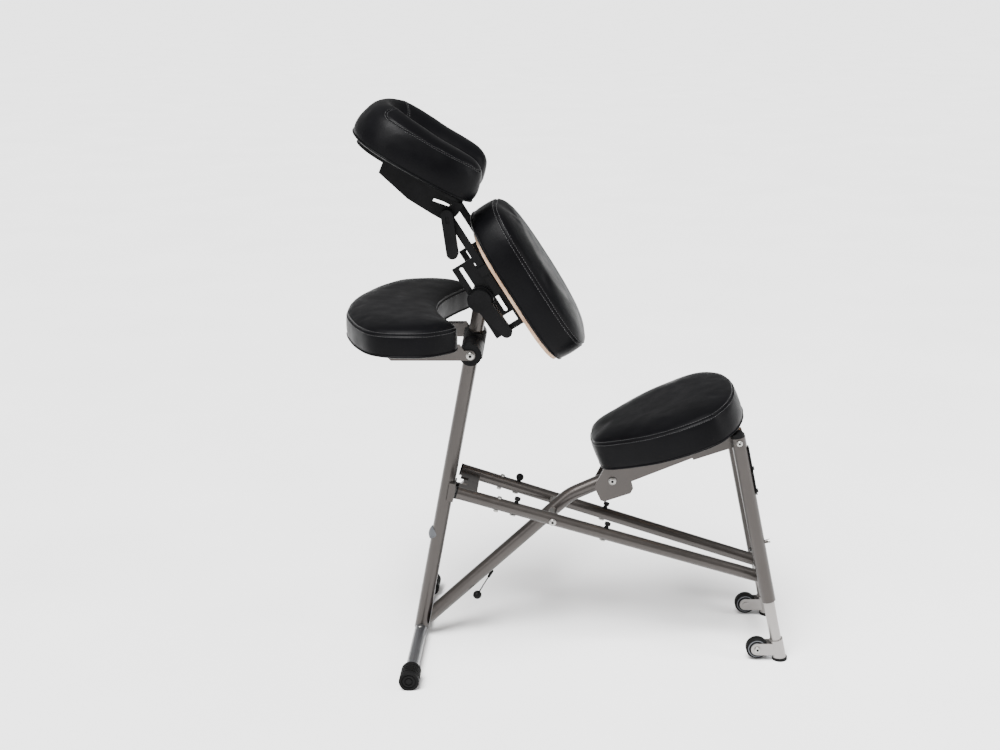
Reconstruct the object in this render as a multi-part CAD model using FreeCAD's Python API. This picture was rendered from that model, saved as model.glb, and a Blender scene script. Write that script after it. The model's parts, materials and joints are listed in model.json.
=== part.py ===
"""Folding kneeling massage chair: tubular frame, telescopic rear legs with transport wheels, saddle seat,
tilting chest pad, crescent armrest and a horseshoe face cradle. Millimetres, +X towards the seat, +Z up.

The side view is laid out with X and Z pairs. The chair is symmetric about Y = 0 apart from its two clamp
levers and one knob; left is -Y, the left hand of a person who kneels facing the chest pad."""
import FreeCAD, Part
import math
import os

V = FreeCAD.Vector
SIDES = (("left", -1), ("right", 1))
ORIGIN_X = -8.0                      # middle of the chair's footprint in the layout's X
RUNNING = 0.06                       # radial clearance of a pin in its bore
GAP = 0.3                            # clearance between parts that move past each other

# Front post and T-bar
FOOT = (-360.2, 22.0)                # post axis meets the T-bar axis
HUB = (-199.0, 834.0)                # post axis meets the top barrel axis
POST_R = 16.0
TUBE_WALL = 2.0
T_BAR_R = 14.0
T_BAR_HALF = 248.0
CAP_R = 22.0
CAP_Y = (210.0, 260.0)
BARREL_R = 22.0
BARREL_HALF = 88.0
FRONT_PIVOT_UP = 353.0               # front hinge, measured along the post from its foot
FRONT_PIVOT_BACK = 32.0              # and behind the post axis
HINGE_PIN_R = 5.0
EAR_R = 13.0
BUMPER_UP = 242.0

# Side rails
RAIL_FRONT = (-262.0, 387.6)
REAR_PIVOT = (427.5, 170.0)
RAIL_R = 14.0
RAIL_Y_FRONT = 73.0
RAIL_Y_REAR = 46.0
CROSS_TUBE_R = 12.5
SPIGOT_R = 8.0
BOLT_X = -172.0
STUD_X = (-135.0, 66.0)              # where the knee pads plug on
STUD_R = 3.0
STUD_TOP = 26.0

# Seat strut
STRUT_PIVOT = (-50.0, 319.5)
STRUT_BEND = (-12.5, 354.2)
STRUT_TOP = (84.0, 398.0)
STRUT_R = 16.0
STRUT_BEND_R = 110.0
STRUT_END_GAP = 1.5
STRUT_PAST_BOLT = 14.0
PIVOT_BOLT_R = 5.0
RELEASE_TOP = (-191.0, 165.7)
RELEASE_BALL = (-227.5, 104.0)
RELEASE_BALL_R = 10.0
RELEASE_ROD_R = 1.4
FERRULE_R = 3.2
FERRULE_LENGTH = 19.0

# Rear legs and wheels
LEG_TOP = (354.3, 523.0)             # seat pivot
LEG_FOOT = (464.3, 0.0)
LEG_Y = 114.0
LEG_R = 16.0
LEG_BORE_R = 14.2
LEG_END = 386.0                      # outer tube's lower end, along the leg from the seat pivot
INNER_LEG_R = 12.5
LEG_BOLT_R = 4.0
LEG_PIN_R = 2.5
LEG_PIN_DOWN = 244.0
WHEEL = (411.5, 29.0)
WHEEL_R = 25.0
WHEEL_HUB_R = 13.0
WHEEL_HALF = 9.5
AXLE_R = 4.0
FOOT_PAD_R = 17.0
FOOT_PAD_T = 7.0

# Seat, laid out along its own tilted bottom plane
SEAT_MIDDLE = (216.0, 494.5)
SEAT_TILT = -20.8
SEAT_HALF = 170.0
SEAT_THICK = 70.0
SEAT_BOARD_T = 9.0
CHANNEL_Y = (25.0, 28.0)
ARM_PLATE_Y = (92.0, 95.0)

# Chest pad assembly, laid out along the slots from the hub
CHEST_TILT = 58.4
PLATE_S = (-85.0, 91.0)
PLATE_T = (-18.0, 52.0)
PLATE_Y = (92.3, 95.3)
SLOT_S = (-79.0, 85.0)
CLAMP_BOLT_R = 4.0
CHEST_BOARD_S = (-122.0, 208.0)
CHEST_BOARD_T = (55.0, 62.0)
CHEST_BOARD_HALF = 125.0
CHEST_PAD_S = (-150.0, 215.0)
CHEST_PAD_TOP = 142.0
CHEST_PAD_HALF = 140.0
LINK_MIDDLE = 40.0                   # the cradle links run this far behind the slots
LINK_HALF = 8.0
LINK_Y = (97.0, 101.0)
LINK_END = 8.0
GUIDE_S = (-60.0, -40.0)

# Face cradle, laid out along its own tilted pad plane
CRADLE_MIDDLE = (-341.0, 1107.0)
CRADLE_TILT = 29.5
CRADLE_PIVOT = (-264.5, 1015.0)
CRADLE_S = (-147.0, 143.0)
CRADLE_HALF = 150.0
CRADLE_THICK = 84.0
FACE_HALF = 48.0
CRADLE_ROD_R = 5.0
CRADLE_ARM_Y = (84.0, 96.0)

# Armrest
ARMREST_PIVOT = (-223.5, 711.0)
ARMREST_Z = (744.0, 800.0)
ARMREST_BARREL_R = 24.0
ARMREST_BARREL_HALF = 97.0
ARM_Y = (98.0, 101.0)
ARMREST_BOLT_R = 4.0


def point(xz, y=0.0):
    return V(xz[0], y, xz[1])


def unit(a, b):
    distance = math.hypot(b[0] - a[0], b[1] - a[1])
    return ((b[0] - a[0]) / distance, (b[1] - a[1]) / distance)


def along(a, b, distance, side=0.0):
    """The point at a distance from a towards b, and at side to the right of that direction."""
    u = unit(a, b)
    return (a[0] + u[0] * distance + u[1] * side, a[1] + u[1] * distance - u[0] * side)


def on_post(up, back=0.0):
    return along(FOOT, HUB, up, back)


def on_leg(down, front=0.0):
    return along(LEG_TOP, LEG_FOOT, down, front)


POST_LENGTH = math.hypot(HUB[0] - FOOT[0], HUB[1] - FOOT[1])
FRONT_PIVOT = on_post(FRONT_PIVOT_UP, FRONT_PIVOT_BACK)
RAIL_TILT = math.degrees(math.atan2(RAIL_FRONT[1] - REAR_PIVOT[1], REAR_PIVOT[0] - RAIL_FRONT[0]))


def rod(p, q, r):
    return Part.makeCylinder(r, (q - p).Length, p, q - p)


def tube(p, q, r, wall):
    return rod(p, q, r).cut(rod(p, q, r - wall))


def cross_rod(xz, y0, y1, r):
    return rod(point(xz, min(y0, y1)), point(xz, max(y0, y1)), r)


def slab(points, y0, y1):
    """A side-view outline between two Y values."""
    low, high = min(y0, y1), max(y0, y1)
    ring = [point(p, low) for p in points + points[:1]]
    return Part.Face(Part.makePolygon(ring)).extrude(V(0, high - low, 0))


def block(x, y, z):
    """A box from three pairs of limits."""
    low = V(min(x), min(y), min(z))
    return Part.makeBox(max(x) - min(x), max(y) - min(y), max(z) - min(z), low)


def tilted(shape, middle, tilt):
    """Moves a shape drawn in a tilted part's own plane to its place in the chair."""
    shape = shape.copy()
    shape.Placement = FreeCAD.Placement(point(middle), FreeCAD.Rotation(V(0, 1, 0), tilt))
    return shape


def in_seat(shape):
    return tilted(shape, SEAT_MIDDLE, SEAT_TILT)


def in_chest(shape):
    return tilted(shape, HUB, CHEST_TILT)


def in_cradle(shape):
    return tilted(shape, CRADLE_MIDDLE, CRADLE_TILT)


def in_rails(shape):
    return tilted(shape, RAIL_FRONT, RAIL_TILT)


def both(shape):
    """The shape and its mirror image, as separate solids."""
    return Part.makeCompound([shape, shape.mirror(V(0, 0, 0), V(0, 1, 0))])


def largest(shape):
    return max(shape.Solids, key=lambda solid: solid.Volume)


def outline_plate(corners, z0, z1):
    """A plate with a plan outline given as X, Y and corner radius."""
    ring = [V(x, y, z0) for x, y, radius in corners + corners[:1]]
    plate = Part.Face(Part.makePolygon(ring)).extrude(V(0, 0, z1 - z0))
    for x, y, radius in corners:
        corner = [e for e in plate.Edges
                  if all(abs(v.X - x) + abs(v.Y - y) < 1e-4 for v in e.Vertexes)]
        plate = plate.makeFillet(radius, corner)
    return plate


def rounded_top(shape, z, radius):
    rim = [e for e in shape.Edges if all(abs(v.Z - z) < 1e-5 for v in e.Vertexes)]
    return shape.makeFillet(radius, rim)


# ------------------------------------------------------------------ base frame

def rail_at(x):
    """Where a rail's axis is at a given X: its height and its distance from the middle."""
    share = (x - RAIL_FRONT[0]) / (REAR_PIVOT[0] - RAIL_FRONT[0])
    height = RAIL_FRONT[1] + share * (REAR_PIVOT[1] - RAIL_FRONT[1])
    return height, RAIL_Y_FRONT + share * (RAIL_Y_REAR - RAIL_Y_FRONT)


def stud_rod(x, side, low, high, r):
    """A rod square to a rail, between two distances from the rail's axis."""
    height, y = rail_at(x)
    tilt = math.radians(RAIL_TILT)
    normal = V(math.sin(tilt), 0, math.cos(tilt))
    base = V(x, side * y, height)
    return rod(base + normal * low, base + normal * high, r)


def side_rail(side):
    front = point(RAIL_FRONT, side * RAIL_Y_FRONT)
    rear = point(REAR_PIVOT, side * RAIL_Y_REAR)
    rail = tube(front, rear, RAIL_R, TUBE_WALL)
    rail = rail.cut(cross_rod(REAR_PIVOT, -BARREL_HALF, BARREL_HALF, CROSS_TUBE_R))
    rail = rail.cut(cross_rod(STRUT_PIVOT, -100, 100, PIVOT_BOLT_R))
    for x in (BOLT_X,) + STUD_X:
        rail = rail.cut(stud_rod(x, side, -RAIL_R * 1.2, RAIL_R * 1.2, STUD_R))
    return largest(rail)


def rail_end_caps():
    caps = []
    for name, side in SIDES:
        front = point(RAIL_FRONT, side * RAIL_Y_FRONT)
        inward = point(REAR_PIVOT, side * RAIL_Y_REAR) - front
        cap = Part.makeCylinder(RAIL_R, 4.0, front - inward.normalize() * 4.0, inward)
        caps.append(cap)
    return Part.makeCompound(caps)


def front_cross_plate():
    """A plate welded between the rails, notched round the hinge ears, with the tongue that they hold."""
    plate = block((1, 44), (-RAIL_Y_FRONT, RAIL_Y_FRONT), (-3, 3))
    plate = plate.cut(block((0, 19), (-22, 22), (-5, 5)))
    tongue_y = 8.6
    tongue = slab([(9, 3), (1, -13), (17, -14), (30, -3), (30, 3)], -tongue_y, tongue_y)
    plate = in_rails(plate.fuse(tongue))
    plate = plate.fuse(cross_rod(FRONT_PIVOT, -tongue_y, tongue_y, EAR_R - 2))
    for name, side in SIDES:
        rail = rod(point(RAIL_FRONT, side * RAIL_Y_FRONT), point(REAR_PIVOT, side * RAIL_Y_REAR), RAIL_R)
        plate = plate.cut(rail)
    plate = plate.cut(cross_rod(FRONT_PIVOT, -30, 30, HINGE_PIN_R))
    return largest(plate)


def front_hinge_pin():
    pin = cross_rod(FRONT_PIVOT, -24, 24, HINGE_PIN_R)
    for name, side in SIDES:
        pin = pin.fuse(cross_rod(FRONT_PIVOT, side * 20.4, side * 24, HINGE_PIN_R + 3))
    return pin


def rear_cross_tube():
    """Carries the rails' rear ends; its spigots turn in the legs' bushes."""
    shape = cross_rod(REAR_PIVOT, -BARREL_HALF, BARREL_HALF, CROSS_TUBE_R)
    shape = shape.fuse(cross_rod(REAR_PIVOT, -97.4, 97.4, SPIGOT_R))
    return shape.cut(cross_rod(REAR_PIVOT, -100, 100, SPIGOT_R - TUBE_WALL))


def kneeler_studs():
    """The bolts and the knee pad studs, each through its rail with a flat head underneath."""
    studs = []
    for name, side in SIDES:
        bolt = stud_rod(BOLT_X, side, -18.5, RAIL_R + 1, STUD_R)
        bolt = bolt.fuse(stud_rod(BOLT_X, side, -RAIL_R - 4.5, -RAIL_R, 5.5))
        bolt = bolt.fuse(stud_rod(BOLT_X, side, RAIL_R, RAIL_R + 3.2, 5.0))
        studs.append(bolt)
        for x in STUD_X:
            stud = stud_rod(x, side, -RAIL_R - 1, STUD_TOP, STUD_R)
            stud = stud.fuse(stud_rod(x, side, -RAIL_R - 2.5, -RAIL_R, 7.0))
            studs.append(stud)
    return Part.makeCompound(studs)


def stud_knobs():
    """Mushroom heads on three of the studs and a ball knob on the right front one."""
    knobs = []
    for name, side in SIDES:
        for x in STUD_X:
            shank = stud_rod(x, side, 0, STUD_TOP, STUD_R)
            knob = stud_rod(x, side, STUD_TOP - 4.5, STUD_TOP + 1, 6.8)
            knob = knob.fuse(stud_rod(x, side, RAIL_R + 0.2, RAIL_R + 3, 5.0))
            knob = knob.fuse(stud_rod(x, side, RAIL_R + 0.2, STUD_TOP, STUD_R + 1.2))
            if side > 0 and x == STUD_X[0]:
                height, y = rail_at(x)
                tilt = math.radians(RAIL_TILT)
                middle = V(x + 24 * math.sin(tilt), side * y, height + 24 * math.cos(tilt))
                knob = knob.fuse(Part.makeSphere(9.0, middle))
            knobs.append(knob.cut(shank))
    return Part.makeCompound(knobs)


def cross_pivot_bolt():
    """The bolt on which strut and rails cross, with a spacer tube each side of the strut."""
    bolt = cross_rod(STRUT_PIVOT, -82.5, 82.5, PIVOT_BOLT_R)
    spacers = []
    for name, side in SIDES:
        bolt = bolt.fuse(cross_rod(STRUT_PIVOT, side * 79.2, side * 82.5, PIVOT_BOLT_R + 3))
        spacer = cross_rod(STRUT_PIVOT, side * (STRUT_R + GAP), side * 50.1, PIVOT_BOLT_R + 5)
        spacers.append(spacer.cut(cross_rod(STRUT_PIVOT, -90, 90, PIVOT_BOLT_R)))
    return Part.makeCompound([bolt] + spacers)


# ------------------------------------------------------------------ front post

def front_post():
    post = tube(point(FOOT), point(HUB), POST_R, TUBE_WALL)
    post = post.cut(cross_rod(FOOT, -30, 30, T_BAR_R))
    post = post.cut(cross_rod(HUB, -30, 30, BARREL_R))
    return largest(post)


def post_bumper():
    """A domed rubber bumper on the front of the post."""
    rise = 7.0
    sphere_r = 24.0
    dome = Part.makeSphere(sphere_r, point(on_post(BUMPER_UP, sphere_r - POST_R - rise)))
    core = rod(point(on_post(BUMPER_UP)), point(on_post(BUMPER_UP, -POST_R - rise)), POST_R - 0.5)
    dome = dome.common(core)
    return largest(dome.cut(rod(point(FOOT), point(HUB), POST_R)))


def t_bar():
    return tube(point(FOOT, -T_BAR_HALF), point(FOOT, T_BAR_HALF), T_BAR_R, TUBE_WALL)


def t_bar_cap():
    """A ribbed rubber cap with concentric rings on its end."""
    start, end = CAP_Y
    cap = cross_rod(FOOT, start, end, CAP_R)
    cap = cap.cut(cross_rod(FOOT, 0, T_BAR_HALF, T_BAR_R))
    groove_w = 3.0
    for i in range(4):
        y = start + 9 + i * 9
        ring = cross_rod(FOOT, y, y + groove_w, CAP_R + 5).cut(cross_rod(FOOT, y, y + groove_w, CAP_R - 1.8))
        cap = cap.cut(ring)
    for r in (8.0, 15.0):
        ring = cross_rod(FOOT, end - 2, end + 1, r + 1.4).cut(cross_rod(FOOT, end - 3, end + 2, r - 1.4))
        cap = cap.cut(ring)
    return cap


def post_top_barrel():
    """The cross tube at the post's top, closed by end discs that carry the clamp bolt."""
    barrel = cross_rod(HUB, -BARREL_HALF, BARREL_HALF, BARREL_R)
    core = cross_rod(HUB, -BARREL_HALF + 8, BARREL_HALF - 8, BARREL_R - 2.5)
    return barrel.cut(core).cut(cross_rod(HUB, -100, 100, CLAMP_BOLT_R + RUNNING))


def front_hinge_block():
    """Welded to the back of the post, with two ears that hold the rails' hinge tongue."""
    half = 22.0
    low, high = FRONT_PIVOT_UP - half, FRONT_PIVOT_UP + half
    back = FRONT_PIVOT_BACK - EAR_R
    shape = slab([on_post(low, 4), on_post(high, 4), on_post(high, back), on_post(low, back)], -20, 20)
    for name, side in SIDES:
        corners = [(FRONT_PIVOT_UP + EAR_R, back - 2), (FRONT_PIVOT_UP + EAR_R, FRONT_PIVOT_BACK),
                   (FRONT_PIVOT_UP - EAR_R, FRONT_PIVOT_BACK), (FRONT_PIVOT_UP - EAR_R, back - 2)]
        ear = slab([on_post(up, out) for up, out in corners], side * 9, side * 20)
        shape = shape.fuse(ear).fuse(cross_rod(FRONT_PIVOT, side * 9, side * 20, EAR_R))
    shape = shape.cut(cross_rod(FRONT_PIVOT, -30, 30, HINGE_PIN_R + RUNNING))
    return largest(shape.cut(rod(point(FOOT), point(HUB), POST_R)))


# ------------------------------------------------------------------ seat strut

def strut_path():
    """Straight from the post to the bend, a wide arc, then straight to the seat."""
    low = along(STRUT_BEND, STRUT_PIVOT, 520.0)
    top = along(STRUT_BEND, STRUT_TOP, math.hypot(STRUT_TOP[0] - STRUT_BEND[0],
                                                  STRUT_TOP[1] - STRUT_BEND[1]) + STRUT_PAST_BOLT)
    u = unit(low, STRUT_BEND)
    w = unit(STRUT_BEND, top)
    turn = math.acos(u[0] * w[0] + u[1] * w[1])
    reach = STRUT_BEND_R * math.tan(turn / 2)
    start = along(STRUT_BEND, low, reach)
    finish = along(STRUT_BEND, top, reach)
    centre = along(start, STRUT_BEND, 0, STRUT_BEND_R)
    middle = along(centre, STRUT_BEND, STRUT_BEND_R)
    return [Part.LineSegment(point(low), point(start)).toShape(),
            Part.Arc(point(start), point(middle), point(finish)).toShape(),
            Part.LineSegment(point(finish), point(top)).toShape()]


def swept(edges, r):
    path = Part.Wire(edges)
    start = edges[0].Vertexes[0].Point
    direction = edges[0].Vertexes[1].Point - start
    profile = Part.Wire([Part.makeCircle(r, start, direction)])
    return path.makePipeShell([profile], True, False)


def seat_strut():
    path = strut_path()
    strut = swept(path, STRUT_R).cut(swept(path, STRUT_R - TUBE_WALL))
    face = POST_R + STRUT_END_GAP
    in_front = slab([on_post(-200, face), on_post(300, face), on_post(300, -300), on_post(-200, -300)], -40, 40)
    strut = strut.cut(in_front)
    strut = strut.cut(cross_rod(STRUT_PIVOT, -30, 30, PIVOT_BOLT_R + RUNNING))
    strut = strut.cut(rod(point(RELEASE_TOP), point(RELEASE_BALL), FERRULE_R))
    return largest(strut)


def release_ferrule():
    """Guides the pull rod out of the strut's underside."""
    end = along(RELEASE_TOP, RELEASE_BALL, FERRULE_LENGTH)
    ferrule = rod(point(RELEASE_TOP), point(end), FERRULE_R)
    return ferrule.cut(rod(point(RELEASE_TOP), point(RELEASE_BALL), RELEASE_ROD_R + RUNNING))


def release_rod():
    return rod(point(along(RELEASE_TOP, RELEASE_BALL, 4)), point(RELEASE_BALL), RELEASE_ROD_R)


def release_knob():
    return Part.makeSphere(RELEASE_BALL_R, point(RELEASE_BALL)).cut(release_rod())


# ------------------------------------------------------------------ rear legs

def leg_rod(side, start, end, r):
    return rod(point(on_leg(start), side * LEG_Y), point(on_leg(end), side * LEG_Y), r)


def rear_leg(side):
    """The outer leg tube, swaged at its lower end to guide the inner leg."""
    leg = leg_rod(side, -10, LEG_END, LEG_R).fuse(leg_pin_rod(side, LEG_BORE_R, 22.2, 4.2))
    leg = leg.cut(leg_rod(side, -20, LEG_END - 40, LEG_BORE_R))
    leg = leg.cut(leg_rod(side, LEG_END - 50, LEG_END + 10, INNER_LEG_R + 0.1))
    leg = leg.cut(cross_rod(LEG_TOP, -150, 150, LEG_BOLT_R))
    return leg.cut(leg_pin_rod(side, LEG_BORE_R - 4, 24, LEG_PIN_R + RUNNING))


def leg_pin_rod(side, start, end, r):
    """A rod through the back of a leg, between two distances from the leg's axis."""
    start_point = point(on_leg(LEG_PIN_DOWN, -start), side * LEG_Y)
    return rod(start_point, point(on_leg(LEG_PIN_DOWN, -end), side * LEG_Y), r)


def leg_pin(side):
    """The pull pin at the back of a leg that locks its height."""
    pin = leg_pin_rod(side, LEG_BORE_R + 0.1, 27.5, LEG_PIN_R)
    return pin.fuse(leg_pin_rod(side, 22.6, 27.5, 4.6))


def leg_pivot_bush(side):
    bush = cross_rod(REAR_PIVOT, side * (BARREL_HALF + 0.4), side * LEG_Y, CROSS_TUBE_R + 1)
    bush = bush.cut(leg_rod(side, 0, LEG_END, LEG_R))
    return largest(bush).cut(cross_rod(REAR_PIVOT, -120, 120, SPIGOT_R + RUNNING))


def leg_top_bolt():
    bolt = cross_rod(LEG_TOP, 88.2, 133.4, LEG_BOLT_R)
    bolt = bolt.fuse(cross_rod(LEG_TOP, 130.1, 133.4, 6.5))
    return bolt.fuse(cross_rod(LEG_TOP, 88.2, ARM_PLATE_Y[0] - GAP, 6.5))


def leg_strip():
    """A flat spring strip on the back of a leg, held by two screws."""
    outline = [on_leg(16, -16.1), on_leg(128, -16.1), on_leg(128, -19), on_leg(16, -19)]
    parts = [slab(outline, LEG_Y - 8, LEG_Y + 8)]
    for down in (68, 121):
        head = rod(point(on_leg(down, -19), LEG_Y), point(on_leg(down, -22), LEG_Y), 4.5)
        parts.append(head)
    return parts


def leg_top_plug():
    """A black plug in the leg's top, rounded about the seat pivot so that the seat can turn over it."""
    plug = leg_rod(1, -24, -10, LEG_R - 0.5)
    return plug.common(cross_rod(LEG_TOP, LEG_Y - 20, LEG_Y + 20, 21.0))


def below_floor_line(z):
    return block((300, 600), (-200, 200), (-60, z))


def inner_leg(side):
    leg = leg_rod(side, 205, 560, INNER_LEG_R).cut(leg_rod(side, 200, 570, INNER_LEG_R - TUBE_WALL))
    return largest(leg.cut(below_floor_line(FOOT_PAD_T)))


def wheel_bracket(side):
    """A sleeve on the inner leg with a cheek each side of the wheel, and the wheel's axle."""
    sleeve = leg_rod(side, 483, 560, INNER_LEG_R + 3)
    shape = sleeve
    leg_x = on_leg((LEG_TOP[1] - WHEEL[1]) / 0.98)[0]
    for near, far in ((124.6, 127.1), (100.9, 103.4)):
        cheek = slab([(WHEEL[0], 15), (leg_x, 15), (leg_x, 43), (WHEEL[0], 43)], side * near, side * far)
        shape = shape.fuse(cheek).fuse(cross_rod(WHEEL, side * near, side * far, 14))
    shape = shape.cut(leg_rod(side, 400, 570, INNER_LEG_R)).cut(below_floor_line(FOOT_PAD_T))
    axle = cross_rod(WHEEL, side * 98.5, side * 129.5, AXLE_R)
    axle = axle.fuse(cross_rod(WHEEL, side * 127.1, side * 129.5, 7)).fuse(
        cross_rod(WHEEL, side * 98.5, side * 100.9, 7))
    return Part.makeCompound([largest(shape.cut(axle)), axle])


def foot_pad(side):
    middle = on_leg(LEG_TOP[1] / 0.98)
    return Part.makeCylinder(FOOT_PAD_R, FOOT_PAD_T, V(middle[0], side * LEG_Y, 0))


def wheel_hub(side):
    hub = cross_rod(WHEEL, side * (LEG_Y - WHEEL_HALF), side * (LEG_Y + WHEEL_HALF), WHEEL_HUB_R)
    hub = hub.cut(cross_rod(WHEEL, side * 95, side * 135, AXLE_R + RUNNING))
    for face in (-1, 1):
        y = side * LEG_Y + face * WHEEL_HALF
        ring = cross_rod(WHEEL, y - face * 2.5, y + face, WHEEL_HUB_R - 2)
        hub = hub.cut(ring.cut(cross_rod(WHEEL, y - 4, y + 4, AXLE_R + 3)))
    return hub


def tyre(side):
    ring = cross_rod(WHEEL, side * (LEG_Y - WHEEL_HALF), side * (LEG_Y + WHEEL_HALF), WHEEL_R)
    edges = [e for e in ring.Edges if len(e.Vertexes) == 1 and abs(e.Length - 2 * math.pi * WHEEL_R) < 0.01]
    return ring.makeFillet(4.0, edges).cut(cross_rod(WHEEL, side * 95, side * 135, WHEEL_HUB_R))


# ------------------------------------------------------------------ seat

def seat_channel():
    """The U-shaped bracket under the seat, with deep lugs round the strut's end."""
    outline = [(-201, -42), (-199, -78), (-192, -84), (-130, -86), (-120, -77), (-118, -60),
               (30, -56), (30, -9), (-165, -9)]
    inner, outer = CHANNEL_Y
    shape = slab(outline, inner, outer).fuse(slab(outline, -inner, -outer))
    shape = in_seat(shape.fuse(block((-163, 30), (-inner, inner), (-12, -9))))
    return shape.cut(cross_rod(STRUT_TOP, -40, 40, LEG_BOLT_R))


def seat_arm():
    """A side plate under the seat's rear, hung on the leg's top bolt."""
    outline = [(32, -9), (32, -36), (140, -40), (154, -32), (154, -9)]
    inner, outer = ARM_PLATE_Y
    shape = slab(outline, inner, outer).fuse(block((32, 154), (70, outer), (-12, -9)))
    return in_seat(shape).cut(cross_rod(LEG_TOP, 60, 120, LEG_BOLT_R + RUNNING))


def seat_bolt():
    """Holds the strut's end between the lugs."""
    bolt = cross_rod(STRUT_TOP, STRUT_R + 1, 32, LEG_BOLT_R)
    return bolt.fuse(cross_rod(STRUT_TOP, CHANNEL_Y[1], 32, 8.5))


def seat_board():
    corners = [(-150, -75, 50), (-150, 75, 50), (155, 88, 40), (155, -88, 40)]
    return in_seat(outline_plate(corners, -SEAT_BOARD_T, 0))


def seat_pad():
    corners = [(-SEAT_HALF, -104, 80), (-SEAT_HALF, 104, 80), (SEAT_HALF, 174, 110), (SEAT_HALF, -174, 110)]
    return in_seat(rounded_top(outline_plate(corners, 0, SEAT_THICK), SEAT_THICK, 16))


# ------------------------------------------------------------------ armrest

def armrest_barrel():
    """Slides on the post: a collar, and a cross barrel that the arms swing on."""
    start, end = (math.hypot(ARMREST_PIVOT[0] - FOOT[0], ARMREST_PIVOT[1] - FOOT[1]) + d for d in (-30, 30))
    shape = cross_rod(ARMREST_PIVOT, -ARMREST_BARREL_HALF, ARMREST_BARREL_HALF, ARMREST_BARREL_R)
    shape = shape.fuse(rod(point(on_post(start)), point(on_post(end)), ARMREST_BARREL_R + 1))
    shape = shape.cut(rod(point(FOOT), point(HUB), POST_R + RUNNING))
    return shape.cut(cross_rod(ARMREST_PIVOT, -110, -70, ARMREST_BOLT_R + RUNNING)).cut(
        cross_rod(ARMREST_PIVOT, 70, 110, ARMREST_BOLT_R + RUNNING))


def armrest_arm():
    x, z = ARMREST_PIVOT
    outline = [(x, z - 11), (x - 170, z - 11), (x - 182, z + 1), (x - 182, z + 25),
               (x - 22, z + 25), (x - 13, z + 11), (x, z + 11)]
    inner, outer = ARM_Y
    arm = slab(outline, inner, outer).fuse(cross_rod(ARMREST_PIVOT, inner, outer, 11))
    arm = arm.fuse(block((x - 182, x - 30), (80, outer), (z + 22, z + 25)))
    return arm.cut(cross_rod(ARMREST_PIVOT, 60, 120, ARMREST_BOLT_R))


def armrest_bolt():
    bolt = cross_rod(ARMREST_PIVOT, 75, 105.5, ARMREST_BOLT_R)
    return bolt.fuse(cross_rod(ARMREST_PIVOT, ARM_Y[1], 103, 9)).fuse(cross_rod(ARMREST_PIVOT, 102, 105.5, 6))


def armrest_outline(z):
    """A crescent: a long front arc, rounded side lobes and a shallow hollow towards the chest pad."""
    half = [(-495, 0), (-476, 117), (-411, 231), (-345, 250), (-276, 231), (-245, 194),
            (-246, 171), (-270, 120), (-298, 0)]
    left = [V(x, -y, z) for x, y in half]
    right = [V(x, y, z) for x, y in half]
    arcs = [(left[1], left[0], right[1]), (right[1], right[2], right[3]), (right[3], right[4], right[5])]
    tip = V((right[5].x + right[6].x) / 2 + 4, (right[5].y + right[6].y) / 2, z)
    arcs.append((right[5], tip, right[6]))
    arcs.append((right[6], right[8], left[6]))
    left_tip = V(tip.x, -tip.y, z)
    arcs += [(left[6], left_tip, left[5]), (left[5], left[4], left[3]), (left[3], left[2], left[1])]
    return Part.Face(Part.Wire([Part.Arc(a, b, c).toShape() for a, b, c in arcs]))


def armrest_board():
    inset = 42.0
    thickness = 8.0
    return armrest_outline(ARMREST_Z[0] - thickness).makeOffset2D(-inset).extrude(V(0, 0, thickness))


def armrest_pad():
    low, high = ARMREST_Z
    return armrest_outline(low).extrude(V(0, 0, high - low))


# ------------------------------------------------------------------ chest pad

def chest_clamp_bolt():
    """Runs right through the post's barrel; a nut closes its right end."""
    bolt = cross_rod(HUB, -118, 112, CLAMP_BOLT_R)
    return bolt.fuse(cross_rod(HUB, 105.3, 112, 9))


def clamp_washers():
    """Two discs inside and two outside the slotted plates, which the clamp bolt squeezes."""
    discs = []
    for name, side in SIDES:
        discs.append(cross_rod(HUB, side * (BARREL_HALF + GAP), side * (PLATE_Y[0] - 0.2), 24))
        discs.append(cross_rod(HUB, side * (PLATE_Y[1] + 0.2), side * 105.3, 28))
    bolt = cross_rod(HUB, -120, 120, CLAMP_BOLT_R)
    return Part.makeCompound([disc.cut(bolt) for disc in discs])


def lever_outline(reach, hub_r, tip_r, tilt, middle, y0, y1):
    """A paddle-shaped lever: a round hub, a waist and a rounded tip."""
    hub = cross_rod((0, 0), y0, y1, hub_r)
    tip = cross_rod((reach - tip_r, 0), y0, y1, tip_r)
    start = (hub_r + tip_r) / 2
    waist = slab([(0, -start), (reach - tip_r, -tip_r), (reach - tip_r, tip_r), (0, start)], y0, y1)
    return tilted(hub.fuse(tip).fuse(waist).removeSplitter(), middle, tilt)


def clamp_lever():
    lever = lever_outline(98, 24, 12, 50.5, HUB, -106, -121)
    return lever.cut(cross_rod(HUB, -118.2, -100, CLAMP_BOLT_R + RUNNING))


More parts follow.
